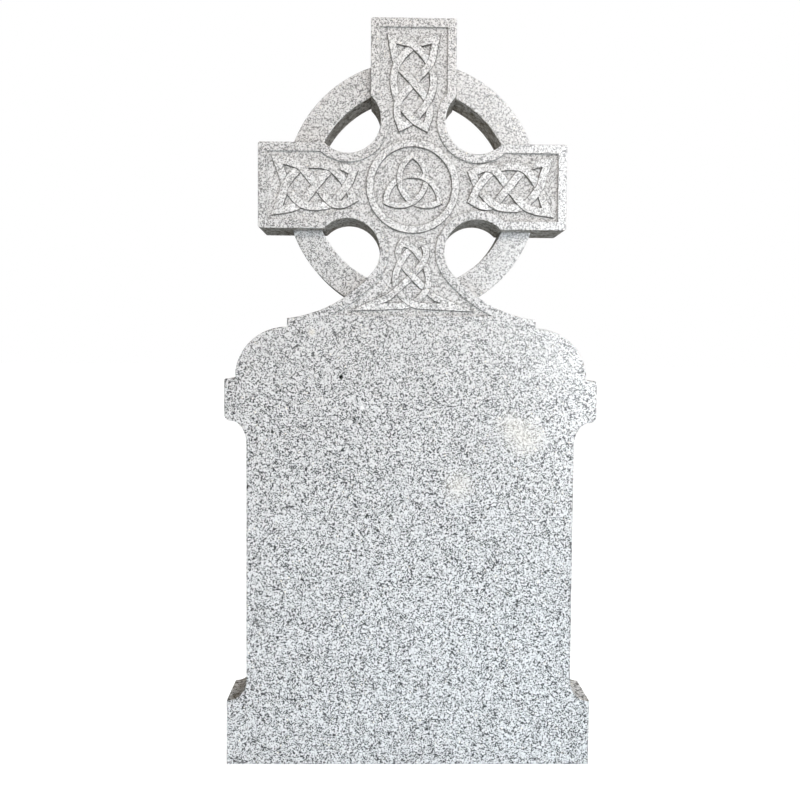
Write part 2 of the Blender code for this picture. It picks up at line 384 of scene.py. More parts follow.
POLISHED = Granite(
    Finish.POLISHED, bruise_and_shade_share=0.0, bruise_and_shade=(0.70, 0.70, 0.69), rough=0.26, relief=0.00001, grain=0.0009,
    dust_and_shade=1.0, face_spots=FACE_SPOTS,
)
HONED = Granite(
    Finish.HONED, bruise_and_shade_share=0.10, bruise_and_shade=(0.74, 0.73, 0.705), rough=0.50, relief=0.00003, grain=0.0010,
)
# In part painted shade: the sawn sides and undersides turn a little towards a dark warm colour, for their
# shade and the warm light bounced from the ground; the stains are the stone's own
SAWN = Granite(
    Finish.SAWN, bruise_and_shade_share=0.10, bruise_and_shade=(0.42, 0.39, 0.33), rough=0.60, relief=0.00012, grain=0.0016,
    stain=0.55, minerals=Minerals(crystal=0.0040, fleck=0.0032, cluster=0.0120, mica_least=0.20),
)
CARVED = Granite(
    Finish.CARVED, bruise_and_shade_share=0.12, bruise_and_shade=(0.66, 0.65, 0.63), rough=0.75, relief=0.00015, grain=0.0014,
)
# Painted shade: the carving's side walls turn nearly black, drawing dark lines along the strands where
# shade falls
SHADED_FLANK = Granite(
    Finish.SHADED_FLANK, bruise_and_shade_share=0.52, bruise_and_shade=(0.13, 0.122, 0.105), rough=0.75, relief=0.00010, grain=0.0014,
)
FINISHES = (POLISHED, HONED, SAWN, CARVED, SHADED_FLANK)


# Bench work: small helpers round Blender's operators

def pick(*objects: bpy.types.Object) -> None:
    """Select these objects alone and make the last one active.

    Args:
        objects: What the next operator works on.
    """
    bpy.ops.object.select_all(action="DESELECT")
    for obj in objects:
        obj.select_set(True)
    bpy.context.view_layer.objects.active = objects[-1]


def select_edges(obj: bpy.types.Object, wanted: Callable[[bmesh.types.BMEdge], bool]) -> None:
    """Select, in edit mode, just the edges that pass a test.

    Args:
        obj: The piece that is open in edit mode.
        wanted: Says of an edge whether it is selected.
    """
    bpy.ops.mesh.select_mode(type="EDGE")
    bpy.ops.mesh.select_all(action="DESELECT")
    mesh = bmesh.from_edit_mesh(obj.data)
    for edge in filter(wanted, mesh.edges):
        edge.select_set(True)
    bmesh.update_edit_mesh(obj.data)


def work(obj: bpy.types.Object, across: Finish, sides: Finish, flat: float = FLAT) -> None:
    """Give a solid all five finishes, and say which of its faces take which.

    Args:
        obj: A solid that isn't joined to the stone yet.
        across: Finish of the faces that look towards the front or the back.
        sides: Finish of the rest.
        flat: How squarely a face must look that way.
    """
    for granite in FINISHES:
        obj.data.materials.append(bpy.data.materials.get(granite.name) or granite.material())
    for polygon in obj.data.polygons:
        square = abs(polygon.normal.y) > flat
        polygon.material_index = (across if square else sides).value


def extrude(move: Sequence[float]) -> None:
    """Extrude what is selected in edit mode by this move."""
    bpy.ops.mesh.extrude_region_move(TRANSFORM_OT_translate={"value": move})


def close_up() -> None:
    """Point all faces of the piece in edit mode outwards, and leave edit mode."""
    bpy.ops.mesh.select_all(action="SELECT")
    bpy.ops.mesh.normals_make_consistent(inside=False)
    bpy.ops.object.mode_set(mode="OBJECT")


def boolean(target: bpy.types.Object, operation: str, tool: bpy.types.Object) -> None:
    """Join or cut one solid with another, and throw the tool away.

    Args:
        target: The solid that is changed.
        operation: UNION or DIFFERENCE.
        tool: The solid that is joined on or cut out.
    """
    pick(target)
    bpy.ops.object.modifier_add(type="BOOLEAN")
    modifier = target.modifiers[-1]
    modifier.operation = operation
    modifier.solver = "EXACT"
    modifier.use_self = True
    modifier.object = tool
    bpy.ops.object.modifier_apply(modifier=modifier.name)
    bpy.data.objects.remove(tool)


class Pen:
    """Draws half an outline in edit mode, stroke by stroke, in a plane parallel to the face.

    Attributes:
        SPECK: Size of the plane that is merged to make the first vertex.
    """

    SPECK = 0.01

    def __init__(self, name: str, start: Point, depth: float) -> None:
        """Open a new mesh with one vertex at the start.

        Args:
            name: Name of the new piece.
            start: First point, as (x, z).
            depth: Where the plane lies along Y.
        """
        bpy.ops.object.select_all(action="DESELECT")
        bpy.ops.mesh.primitive_plane_add(size=self.SPECK)
        self.obj = bpy.context.object
        self.obj.name = name
        bpy.ops.object.mode_set(mode="EDIT")
        bpy.ops.mesh.select_mode(type="VERT")
        bpy.ops.mesh.select_all(action="SELECT")
        bpy.ops.mesh.merge(type="CENTER")
        bpy.ops.transform.translate(value=(start[0], depth, start[1]))
        self.at = start

    def line(self, x: float, z: float) -> None:
        """Draw a straight stroke, unless the pen is there already.

        Args:
            x: Where it ends, across.
            z: The height at which it ends.
        """
        move = Vector((x - self.at[0], 0.0, z - self.at[1]))
        if move.length > TOLERANCE:
            extrude(move)
            self.at = (x, z)

    def arc(self, centre: Point, radii: Point, start: float, end: float) -> None:
        """Draw along an arc of a circle or an ellipse, after a stroke to where it starts.

        Args:
            centre: The arc's middle, as (x, z).
            radii: Its two radii, along X and Z.
            start: Angle at which it starts, anticlockwise from +X as seen from the front.
            end: Angle at which it ends.
        """
        turn = 2 * math.acos(1 - SAG / max(radii))
        count = max(LEAST_CHORDS, math.ceil(abs(end - start) / turn))
        for i in range(count + 1):
            angle = start + (end - start) * i / count
            self.line(centre[0] + radii[0] * math.cos(angle), centre[1] + radii[1] * math.sin(angle))

    def mirrored_face(self) -> bpy.types.Object:
        """Mirror the half outline across X = 0 and fill it with a face that looks towards +Y.

        Returns:
            The piece, still in edit mode, with that face selected.
        """
        bpy.ops.mesh.select_all(action="SELECT")
        bpy.ops.mesh.symmetrize(direction="POSITIVE_X")
        bpy.ops.mesh.select_all(action="SELECT")
        bpy.ops.mesh.remove_doubles(threshold=TOLERANCE)
        bpy.ops.mesh.edge_face_add()
        bpy.ops.mesh.select_mode(type="FACE")
        if bmesh.from_edit_mesh(self.obj.data).faces[:][0].normal.y < 0:
            bpy.ops.mesh.flip_normals()
        return self.obj


# Sub-assemblies: the slab's outline, the ring, the sunk panel and what is carved in it

@dataclass(frozen=True)
class Tablet:
    """The stone below the cross: foot, coves, tablet, ears, shoulders and the cross's step.

    Attributes:
        base_width: Width of the foot.
        base_height: Height at which its coves start.
        width: Width of the tablet.
        ear_underside: Height of the ears' undersides.
        ear_height: Height of an ear.
        ear_round: Radius of an ear's lower edge.
        ear_hollow: How far below an ear its hollow reaches.
        ear_top_round: Radius of an ear's upper edge.
        ledge_width: Width of an ear's flat top, from its side to the shoulder.
        shoulder_radius: Radius of a shoulder.
        step_height: Height of the step that carries the cross.
        ear: How far out an ear reaches.
    """

    base_width: float = 0.610
    base_height: float = 0.109
    width: float = 0.544
    ear_underside: float = 0.579
    ear_height: float = 0.070
    ear_round: float = 0.011
    ear_hollow: float = 0.039
    ear_top_round: float = 0.003
    ledge_width: float = 0.0173
    shoulder_radius: float = 0.086
    step_height: float = 0.0139
    ear: float = cad_box[1].x

    @property
    def ear_top(self) -> float:
        """Height of the ears' tops."""
        return self.ear_underside + self.ear_height

    @property
    def step(self) -> Point:
        """The step's right corner."""
        across = self.ear - self.ledge_width - self.shoulder_radius
        return across, self.ear_top + self.shoulder_radius + self.step_height

    def draw(self, pen: Pen) -> None:
        """Draw the right half, from the middle of the foot to the step's corner.

        Args:
            pen: Stands at the middle of the foot.
        """
        cove = (self.base_width - self.width) / 2
        cove_middle = (self.base_width / 2, self.base_height + cove)
        hollow_x = self.ear - self.ear_round
        hollow = (hollow_x - self.width / 2, self.ear_hollow)
        pen.line(self.base_width / 2, 0.0)
        pen.arc(cove_middle, (cove, cove), -QUARTER, -2 * QUARTER)
        pen.arc((hollow_x, self.ear_underside - self.ear_hollow), hollow, 2 * QUARTER, QUARTER)
        pen.arc((hollow_x, self.ear_underside + self.ear_round), (self.ear_round,) * 2, -QUARTER, 0.0)
        top_round = self.ear_top_round
        pen.arc((self.ear - top_round, self.ear_top - top_round), (top_round,) * 2, 0.0, QUARTER)
        pen.arc((self.step[0], self.ear_top), (self.shoulder_radius,) * 2, 0.0, QUARTER)
        pen.line(*self.step)


@dataclass(frozen=True)
class Cross:
    """The cross's outline: arms with round hollows between them, and a foot that sweeps out.

    Attributes:
        step: The right corner of the step that it stands on, as (x, z).
        shaft_height: Height of the crossing above the step.
        head_height: Height of the top above the crossing.
        arm_span: Width over both arms.
        arm_width: Width of an arm.
        arm_corner: Radius of an arm's corners.
        armpit_radius: Radius of the hollows between the arms.
        armpit_offset: How far out and how far up or down a hollow's middle lies from the crossing.
        foot_leave: Angle round a lower hollow, from its lowest point to where the foot's sweep starts.
    """

    step: Point
    shaft_height: float = 0.2171
    head_height: float = 0.2708
    arm_span: float = 0.5062
    arm_width: float = 0.1396
    arm_corner: float = 0.004
    armpit_radius: float = 0.0535
    armpit_offset: float = 0.1065
    foot_leave: float = math.radians(50)

    @property
    def middle(self) -> float:
        """Height of the crossing."""
        return self.step[1] + self.shaft_height

    def sweep(self) -> tuple[Vector, float]:
        """Find the arc from the step's corner up to the hollow under the arm.

        Returns:
            Its centre and its radius.
        """
        leave = Vector((
            self.armpit_offset - self.armpit_radius * math.sin(self.foot_leave),
            self.middle - self.armpit_offset - self.armpit_radius * math.cos(self.foot_leave),
        ))
        chord = Vector(self.step) - leave
        fall = math.atan2(-chord.y, chord.x)
        radius = chord.length / (2 * math.sin(self.foot_leave - fall))
        return leave + radius * Vector((math.sin(self.foot_leave), math.cos(self.foot_leave))), radius

    def draw(self, pen: Pen, border: float, foot_z: float, corner: float) -> None:
        """Draw the right half from its foot to the middle of its top.

        Args:
            pen: Stands at the foot, or wherever the first stroke starts.
            border: How far the outline is drawn in from the cross's own.
            foot_z: Height at which it starts.
            corner: Radius of the arms' corners, or zero for sharp ones.
        """
        centre, radius = self.sweep()
        radius += border
        foot_x = centre.x - math.sqrt(radius ** 2 - (centre.y - foot_z) ** 2)
        leave = -QUARTER - self.foot_leave
        arm = self.arm_width / 2 - border
        hollow = self.armpit_radius + border
        meet = math.asin((self.armpit_offset - arm) / hollow)
        end = self.arm_span / 2 - border
        top = self.middle + self.head_height - border
        low, high = self.middle - self.armpit_offset, self.middle + self.armpit_offset
        pen.arc(tuple(centre), (radius, radius), math.atan2(foot_z - centre.y, foot_x - centre.x), leave)
        pen.arc((self.armpit_offset, low), (hollow, hollow), leave, meet - 4 * QUARTER)
        self.turn_corner(pen, end, self.middle - arm, corner, -QUARTER)
        self.turn_corner(pen, end, self.middle + arm, corner, 0.0)
        pen.arc((self.armpit_offset, high), (hollow, hollow), -meet, meet - 3 * QUARTER)
        self.turn_corner(pen, arm, top, corner, 0.0)
        pen.line(0.0, top)

    @staticmethod
    def turn_corner(pen: Pen, x: float, z: float, radius: float, start: float) -> None:
        """Draw an arm's corner, rounded where it has a radius.

        Args:
            pen: Stands on the edge that leads to the corner.
            x: Where the sharp corner is, across.
            z: Its height.
            radius: Radius of the rounding, or zero.
            start: Angle at which the rounding starts.
        """
        if radius == 0.0:
            pen.line(x, z)
            return
        reach = radius * math.sqrt(2)
        middle = start + QUARTER / 2
        centre = (x - reach * math.cos(middle), z - reach * math.sin(middle))
        pen.arc(centre, (radius, radius), start, start + QUARTER)


def step_inwards(steps: list[Point]) -> None:
    """Work the selected cap on along its own normal, drawing its edge in at each step.

    Args:
        steps: How far each step draws in and how far it goes on, as pairs.
    """
    for inset, advance in steps:
        bpy.ops.mesh.inset(thickness=inset, depth=advance, use_even_offset=True)


def quarter_round(radius: float, rim: bool) -> list[Point]:
    """Split a quarter round into steps of (drawn in, gone on).

    Args:
        radius: Radius of the round.
        rim: True where it starts flat on the face, False where it ends flat on the ground.

    Returns:
        The steps, in order.
    """
    angles = [QUARTER * i / ROUND_STEPS for i in range(ROUND_STEPS + 1)]
    flat = [radius * math.sin(angle) for angle in angles]
    steep = [radius - radius * math.cos(angle) for angle in angles]
    across, along = (flat, steep) if rim else (steep, flat)
    return [(across[i + 1] - across[i], along[i + 1] - along[i]) for i in range(ROUND_STEPS)]


@dataclass(frozen=True)
class Ring:
    """A turned ring of rectangular section with eased edges.

    Attributes:
        name: Name of its object.
        inner: Its inner radius.
        outer: Its outer radius.
        front: Where its front lies along Y.
        back: Where its back lies along Y.
        arris: How far its edges are eased.
        middle: Height of its middle.
    """

    name: str
    inner: float
    outer: float
    front: float
    back: float
    arris: float
    middle: float

    def build(self) -> bpy.types.Object:
        """Shape the section from a plane and spin it once round the cross's middle.

        Returns:
            The ring, as a closed solid.
        """
        bpy.ops.object.select_all(action="DESELECT")
        bpy.ops.mesh.primitive_plane_add(size=1.0)
        obj = bpy.context.object
        obj.name = self.name
        bpy.ops.object.mode_set(mode="EDIT")
        bpy.ops.mesh.select_all(action="SELECT")
        bpy.ops.transform.resize(value=(self.outer - self.inner, self.back - self.front, 1.0))
        place = ((self.outer + self.inner) / 2, (self.back + self.front) / 2, self.middle)
        bpy.ops.transform.translate(value=place)
        bpy.ops.mesh.bevel(
            offset=self.arris, segments=ROUND_STEPS, affect="VERTICES", clamp_overlap=True,
        )
        bpy.ops.mesh.select_all(action="SELECT")
        bpy.ops.mesh.delete(type="ONLY_FACE")
        bpy.ops.mesh.select_all(action="SELECT")
        steps = math.ceil(2 * QUARTER / math.acos(1 - SAG / self.outer))
        bpy.ops.mesh.spin(
            steps=steps, angle=4 * QUARTER, center=(0.0, 0.0, self.middle), axis=(0.0, 1.0, 0.0),
        )
        bpy.ops.mesh.select_all(action="SELECT")
        bpy.ops.mesh.remove_doubles(threshold=TOLERANCE)
        close_up()
        return obj


@dataclass(frozen=True)
class Panel:
    """The sunk field that follows the cross's outline inside a plain border.

    Attributes:
        border: Width of the border.
        depth: How far the field is sunk.
        foot_margin: Height of the field's foot above the cross's step.
        rim_round: Radius of the rim's edge.
        foot_round: Radius where the wall meets the ground.
        clearance: How far the cutter stands out of the face.
    """

    border: float = 0.0145
    depth: float = 0.0055
    foot_margin: float = 0.006
    rim_round: float = 0.0010
    foot_round: float = 0.0012
    clearance: float = 0.010

    def cutter(self, cross: Cross, face: float) -> bpy.types.Object:
        """Build the solid that sinks the panel, flared at the rim and rounded at its ground.

        Args:
            cross: Gives the outline.
            face: Where the stone's face lies along Y.

        Returns:
            The cutter, as a closed solid.
        """
        foot_z = cross.step[1] + self.foot_margin
        pen = Pen("panel_cutter", (0.0, foot_z - self.rim_round), face - self.clearance)
        cross.draw(pen, self.border - self.rim_round, foot_z - self.rim_round, 0.0)
        obj = pen.mirrored_face()
        extrude((0.0, self.clearance, 0.0))
        step_inwards(quarter_round(self.rim_round, rim=True))
        extrude((0.0, self.depth - self.rim_round - self.foot_round, 0.0))
        step_inwards(quarter_round(self.foot_round, rim=False))
        close_up()
        work(obj, Finish.CARVED, Finish.CARVED)
        return obj


@dataclass(frozen=True)
class Stretch:
    """Part of a strand, from one pointed tip to the next.

    Attributes:
        points: Points that its middle passes through, about the cross's middle.
        unders: Which of them lie where it passes under.
    """

    points: tuple[Point, ...]
    unders: tuple[int, ...]

    def smooth(self, spacing: float) -> tuple[list[Vector], list[int]]:
        """Lay a smooth curve through the points.

        Args:
            spacing: Greatest distance from one of the curve's points to the next.

        Returns:
            The curve's points, and the place of each given point along them.
        """
        before = Vector(self.points[0]) * 2 - Vector(self.points[1])
        after = Vector(self.points[-1]) * 2 - Vector(self.points[-2])
        knots = [before, *(Vector(point) for point in self.points), after]
        path, places = [knots[1]], [0]
        for a, b, c, d in zip(knots, knots[1:], knots[2:], knots[3:]):
            span = (c - b).length
            count = max(1, math.ceil(span / spacing))
            leave = (c - a) * span / (span + (b - a).length)
            arrive = (d - b) * span / (span + (d - c).length)
            for i in range(1, count + 1):
                t = i / count
                path.append(
                    b * (2 * t ** 3 - 3 * t ** 2 + 1) + leave * (t ** 3 - 2 * t ** 2 + t)
                    + c * (3 * t ** 2 - 2 * t ** 3) + arrive * (t ** 3 - t ** 2)
                )
            places.append(len(path) - 1)
        return path, places


@dataclass(frozen=True)
class Strand:
    """A flat-topped strand with eased edges that dips where it passes under another.

    Attributes:
        width: Its width at mid-height.
        draft: How much a side leans out from mid-height down, and in from there up.
        dip: How far its top dips where it passes under.
        dip_margin: How far the dip goes on, level, past the strand above.
        dip_ramp: Length over which it rises again.
        arris: Radius of its eased edges.
        root: How far it reaches into the panel's ground.
        spacing: Greatest length of its pieces.
        look: How many pieces from a tip its opening is measured.
    """

    width: float
    draft: float = 0.0006
    dip: float = 0.0026
    dip_margin: float = 0.0010
    dip_ramp: float = 0.0100
    arris: float = 0.0007
    root: float = 0.0030
    spacing: float = 0.0030
    look: int = 4

    def dip_at(self, distance: float) -> float:
        """How far the top lies below the face, this far from where the strand passes under."""
        rise = min(1.0, max(0.0, (distance - self.width / 2 - self.dip_margin) / self.dip_ramp))
        return self.dip * (1 - rise * rise * (3 - 2 * rise))

    def stations(self, stretches: list[Stretch]) -> list[tuple[Vector, float]]:
        """Walk once round the closed strand.

        Args:
            stretches: The strand's stretches, in order round it.

        Returns:
            Points with the dip at each, without those that a tip's mitre would fold.
        """
        paths = [stretch.smooth(self.spacing) for stretch in stretches]
        stations = []
        for index, (path, places) in enumerate(paths):
            lengths = [0.0]
            for a, b in zip(path, path[1:]):
                lengths.append(lengths[-1] + (b - a).length)
            unders = [lengths[places[i]] for i in stretches[index].unders]
            before, after = paths[index - 1][0], paths[(index + 1) % len(paths)][0]
            start = self.fold(path[0], path, before[::-1])
            end = lengths[-1] - self.fold(path[-1], path[::-1], after)
            stations.append((path[0], 0.0))
            for point, length in zip(path[1:-1], lengths[1:-1]):
                if start < length < end:
                    stations.append((point, max(self.dip_at(abs(length - under)) for under in unders)))
        return stations

    def fold(self, tip: Vector, one: list[Vector], other: list[Vector]) -> float:
        """Measure what a tip's mitre takes up on its inner side.

        Args:
            tip: The pointed tip.
            one: Points of one stretch, from the tip on.
            other: Points of the other stretch, from the tip on.

        Returns:
            The length along either stretch.
        """
        opening = (one[self.look] - tip).angle(other[self.look] - tip)
        return (self.width / 2 + self.draft) / math.tan(opening / 2)

    def section(self, face: float, ground: float, dip: float) -> list[Point]:
        """Draw the strand's section.

        Args:
            face: Where the stone's face lies along Y.
            ground: Where the panel's ground lies along Y.
            dip: How far the top lies below the face here.

        Returns:
            Points as (across, depth), from the foot on one side to the foot on the other.
        """
        top = face + dip
        half = self.width / 2 - self.draft
        edge = []
        for across, along in [(0.0, 0.0), *quarter_round(self.arris, rim=True)]:
            last = edge[-1] if edge else (half - self.arris, top)
            edge.append((last[0] + across, last[1] + along))
        right = [*edge, (self.width / 2 + self.draft, ground + self.root)]
        return right[::-1] + [(-across, depth) for across, depth in right]

    def sweep(
        self, mesh: bmesh.types.BMesh, stretches: list[Stretch], turns: int, place: Vector, ground: float,
    ) -> None:
        """Sweep the section round the strand, mitred at its tips.

        Args:
            mesh: Takes the strand's faces.
            stretches: The strand's stretches, in order round it.
            turns: Quarter turns about the cross's middle.
            place: The cross's middle, in the plane of the face.
            ground: Where the panel's ground lies along Y.
        """
        stations = self.stations(stretches)
        turn = Matrix.Rotation(turns * QUARTER, 2)
        rows = []
        for i, (point, dip) in enumerate(stations):
            before = (point - stations[i - 1][0]).normalized()
            after = (stations[(i + 1) % len(stations)][0] - point).normalized()
            tangent = (before + after).normalized()
            side = Vector((-tangent.y, tangent.x))
            mitre = side / side.dot(Vector((-after.y, after.x)))
            row = []
            for across, depth in self.section(place.y, ground, dip):
                spot = turn @ (point + mitre * across)
                row.append(mesh.verts.new((place.x + spot.x, depth, place.z + spot.y)))
            rows.append(row)
        for i, row in enumerate(rows):
            last = rows[i - 1]
            for j in range(len(row)):
                mesh.faces.new((last[j - 1], last[j], row[j], row[j - 1]))


@dataclass(frozen=True)
class Plait:
    """One arm's knot: a single strand that crosses itself seven times, in five rows.

    Attributes:
        turns: Quarter turns from the right arm to this one.
        width: Width of the strand.
        start: Where the plait starts, out from the cross's middle.
        pitch: Length from one row of crossings to the next.
        inner_tip: An inner tip, as (how far out, how far to the side).
        shoulder: How far to the side the long way swings just outside the inner tip.
        inner: How far to the side the inner pair of crossings lies.
        loop: How far to the side the loops reach.
        outer: How far to the side the outer pair of crossings lies.
        sweep_out: How far to the side the long way swings just inside the outer tip.
        side_return: How far to the side the strand turns back behind the outer tip.
        outer_tip: An outer tip, as (how far out, how far to the side).
        shoulder_turn: Where the shoulder lies, in pitches from the start.
        sweep_turn: Where the outer swing lies, in pitches from the start.
        return_turn: Where the strand turns back, in pitches from the start.
    """

    turns: int
    width: float
    start: float
    pitch: float
    inner_tip: Point
    shoulder: float
    inner: float
    loop: float
    outer: float
    sweep_out: float
    side_return: float
    outer_tip: Point
    shoulder_turn: float = 1.3
    sweep_turn: float = 4.7
    return_turn: float = 5.2

    def along(self, turn: float) -> float:
        """How far out a place lies that is this many pitches from the plait's start."""
        return self.start + self.pitch * turn

    def stretches(self) -> list[Stretch]:
        """Join the strand's four stretches.

        Returns:
            The stretches, in order round the strand.
        """
        return [
            Stretch(self.long_way(1), (3,)), Stretch(self.looped_way(1), (2, 5)),
            Stretch(self.long_way(-1), (2, 4)), Stretch(self.looped_way(-1), (3, 6)),
        ]

    def long_way(self, side: int) -> tuple[Point, ...]:
        """Lead the strand from an inner tip over the middle crossing to an outer tip.

        Args:
            side: 1 or -1, the side on which it starts.

        Returns:
            Points as (how far out, how far to the side).
        """
        return (
            (self.inner_tip[0], side * self.inner_tip[1]),
            (self.along(self.shoulder_turn), side * self.shoulder),
            (self.along(2), side * self.inner),
            (self.along(3), 0.0),
            (self.along(4), -side * self.outer),
            (self.along(self.sweep_turn), -side * self.sweep_out),
            (self.outer_tip[0], -side * self.outer_tip[1]),
        )

    def looped_way(self, side: int) -> tuple[Point, ...]:
        """Lead the strand from an outer tip round a side loop and back to an inner tip.

        Args:
            side: 1 or -1, the side of the loop.

        Returns:
            Points as (how far out, how far to the side).
        """
        return (
            (self.outer_tip[0], -side * self.outer_tip[1]),
            (self.along(self.return_turn), -side * self.side_return),
            (self.along(5), 0.0),
            (self.along(4), side * self.outer),
            (self.along(3), side * self.loop),
            (self.along(2), side * self.inner),
            (self.along(1), 0.0),
            (self.inner_tip[0], -side * self.inner_tip[1]),
        )


SIDE_PLAIT = Plait(
    turns=0, width=0.0140, start=0.0823, pitch=0.0252, inner_tip=(0.0974, 0.0220), shoulder=0.0305,
    inner=0.0280, loop=0.0340, outer=0.0295, sweep_out=0.0375, side_return=0.0170,
    outer_tip=(0.2220, 0.0410),
)
FAR_SIDE_PLAIT = replace(SIDE_PLAIT, turns=2)
HEAD_PLAIT = Plait(
    turns=1, width=0.0130, start=0.0777, pitch=0.0299, inner_tip=(0.0960, 0.0200), shoulder=0.0265,
    inner=0.0240, loop=0.0325, outer=0.0265, sweep_out=0.0325, side_return=0.0190,
    outer_tip=(0.2370, 0.0360),
)
SHAFT_PLAIT = Plait(
    turns=3, width=0.0120, start=0.0768, pitch=0.02295, inner_tip=(0.0915, 0.0165), shoulder=0.0230,
    inner=0.0185, loop=0.0270, outer=0.0240, sweep_out=0.0440, side_return=0.0360,
    outer_tip=(0.1975, 0.0750),
)


@dataclass(frozen=True)
class Medallion:
    """The round frame at the crossing, and the three-lobed knot inside it.

    Attributes:
        outer: Outer radius of the frame.
        inner: Inner radius of the frame.
        arris: How far the frame's edges are eased.
        reach: How far the knot's tips lie from the middle.
        width: Width of the knot's strand.
        lobes: How many lobes the knot has.
        third_steps: Pieces in each third of a lobe's half circle.
    """

    outer: float = 0.0765
    inner: float = 0.0640
    arris: float = 0.0015
    reach: float = 0.0505
    width: float = 0.0105
    lobes: int = 3
    third_steps: int = 8

    def stretches(self) -> list[Stretch]:
        """Draw half circles, one for each lobe, that cross one another near the middle.

        Returns:
            The stretches, in order round the strand.
        """
        radius = self.reach * math.sqrt(3) / 2
        offset = radius / math.sqrt(3)
        stretches = []
        for lobe in range(self.lobes):
            heading = -QUARTER - lobe * 4 * QUARTER / self.lobes
            centre = Vector((math.cos(heading), math.sin(heading))) * offset
            count = 3 * self.third_steps
            angles = [heading + QUARTER + 2 * QUARTER * i / count for i in range(count + 1)]
            points = [centre + Vector((math.cos(a), math.sin(a))) * radius for a in angles]
            stretches.append(Stretch(tuple(tuple(p) for p in points), (2 * self.third_steps,)))
        return stretches


@dataclass
class Headstone:
    """The whole stone, built and finished as one piece.

    Attributes:
        arris: How far the slab's edges are eased.
        ring_inner: Inner radius of the cross's ring.
        ring_outer: Its outer radius.
        ring_recess: How far its front lies behind the face.
        ring_setback: How far its back lies short of the slab's.
        ring_arris: How far its edges are eased.
        tablet: The stone below the cross.
        panel: The sunk field.
        medallion: The round frame and its knot.
        plaits: The knots of the four arms.
        face: Where the slab's face lies along Y.
        back: Where its back lies along Y.
    """

    arris: float = 0.0012
    ring_inner: float = 0.165
    ring_outer: float = 0.211
    ring_recess: float = 0.028
    ring_setback: float = 0.0005
    ring_arris: float = 0.0015
    tablet: Tablet = field(default_factory=Tablet)
    panel: Panel = field(default_factory=Panel)
    medallion: Medallion = field(default_factory=Medallion)
    plaits: tuple[Plait, ...] = (SIDE_PLAIT, HEAD_PLAIT, FAR_SIDE_PLAIT, SHAFT_PLAIT)
    face: float = cad_box[0].y
    back: float = cad_box[1].y

    def __post_init__(self) -> None:
        """Set the cross on the tablet's step."""
        self.cross = Cross(self.tablet.step)
        self.ground = self.face + self.panel.depth

    def build(self) -> bpy.types.Object:
        """Cut the slab, add the ring, sink the panel and carve it.

        Returns:
            The finished stone.
        """
        stone = self.slab()
        LOG.info("slab: %d faces", len(stone.data.polygons))
        boolean(stone, "UNION", self.ring())
        boolean(stone, "DIFFERENCE", self.panel.cutter(self.cross, self.face))
        LOG.info("ring and panel: %d faces", len(stone.data.polygons))
        boolean(stone, "UNION", self.carving())
        LOG.info("carving: %d faces", len(stone.data.polygons))
        pick(stone)
        bpy.ops.object.shade_smooth_by_angle(angle=SMOOTH_ANGLE)
        bpy.ops.object.modifier_add(type="WEIGHTED_NORMAL")
        modifier = stone.modifiers[-1]
        modifier.keep_sharp = True
        modifier.weight = LARGE_FACES_LEAD
        bpy.ops.object.modifier_apply(modifier=modifier.name)
        return stone

    def slab(self) -> bpy.types.Object:
        """Draw the outline, extrude it to the slab's thickness and ease its arrises.

        Returns:
            The slab, as a closed solid.
        """
        pen = Pen("headstone_carved", (0.0, 0.0), self.face)
        self.tablet.draw(pen)
        self.cross.draw(pen, 0.0, self.cross.step[1], self.cross.arm_corner)
        obj = pen.mirrored_face()
        extrude((0.0, self.back - self.face, 0.0))
        select_edges(obj, self.is_arris)
        bpy.ops.mesh.bevel(
            offset=self.arris, segments=ROUND_STEPS, affect="EDGES", clamp_overlap=False,
        )
        close_up()
        work(obj, Finish.POLISHED, Finish.SAWN)
        return obj

    def is_arris(self, edge: bmesh.types.BMEdge) -> bool:
        """Tell whether an edge runs round the slab's face or back, above its foot.

        Args:
            edge: An edge of the slab.

        Returns:
            True where the edge is to be eased.
        """
        heights = [vert.co.z for vert in edge.verts]
        flat = abs(edge.verts[0].co.y - edge.verts[1].co.y) < TOLERANCE
        return flat and max(heights) > TOLERANCE

    def ring(self) -> bpy.types.Object:
        """Turn the ring behind the arms, set back from the face and just short of the back.

        Returns:
            The ring, as a closed solid.
        """
        obj = Ring(
            "ring", self.ring_inner, self.ring_outer, self.face + self.ring_recess,
            self.back - self.ring_setback, self.ring_arris, self.cross.middle,
        ).build()
        work(obj, Finish.POLISHED, Finish.SAWN)
        return obj

    def carving(self) -> bpy.types.Object:
        """Raise the medallion's frame, its emblem and the knots in one mesh.

        Returns:
            The carving, as closed solids that cross one another.
        """
        medallion = self.medallion
        obj = Ring(
            "carving", medallion.inner, medallion.outer, self.face,
            self.ground + Strand(medallion.width).root, medallion.arris, self.cross.middle,
        ).build()
        place = Vector((0.0, self.face, self.cross.middle))
        mesh = bmesh.new()
        mesh.from_mesh(obj.data)
        Strand(medallion.width).sweep(mesh, medallion.stretches(), 0, place, self.ground)
        for plait in self.plaits:
            Strand(plait.width).sweep(mesh, plait.stretches(), plait.turns, place, self.ground)
        bmesh.ops.recalc_face_normals(mesh, faces=mesh.faces)
        mesh.to_mesh(obj.data)
        mesh.free()
        # The carving's side walls take the painted shade
        work(obj, Finish.HONED, Finish.SHADED_FLANK, LEVEL)
        return obj


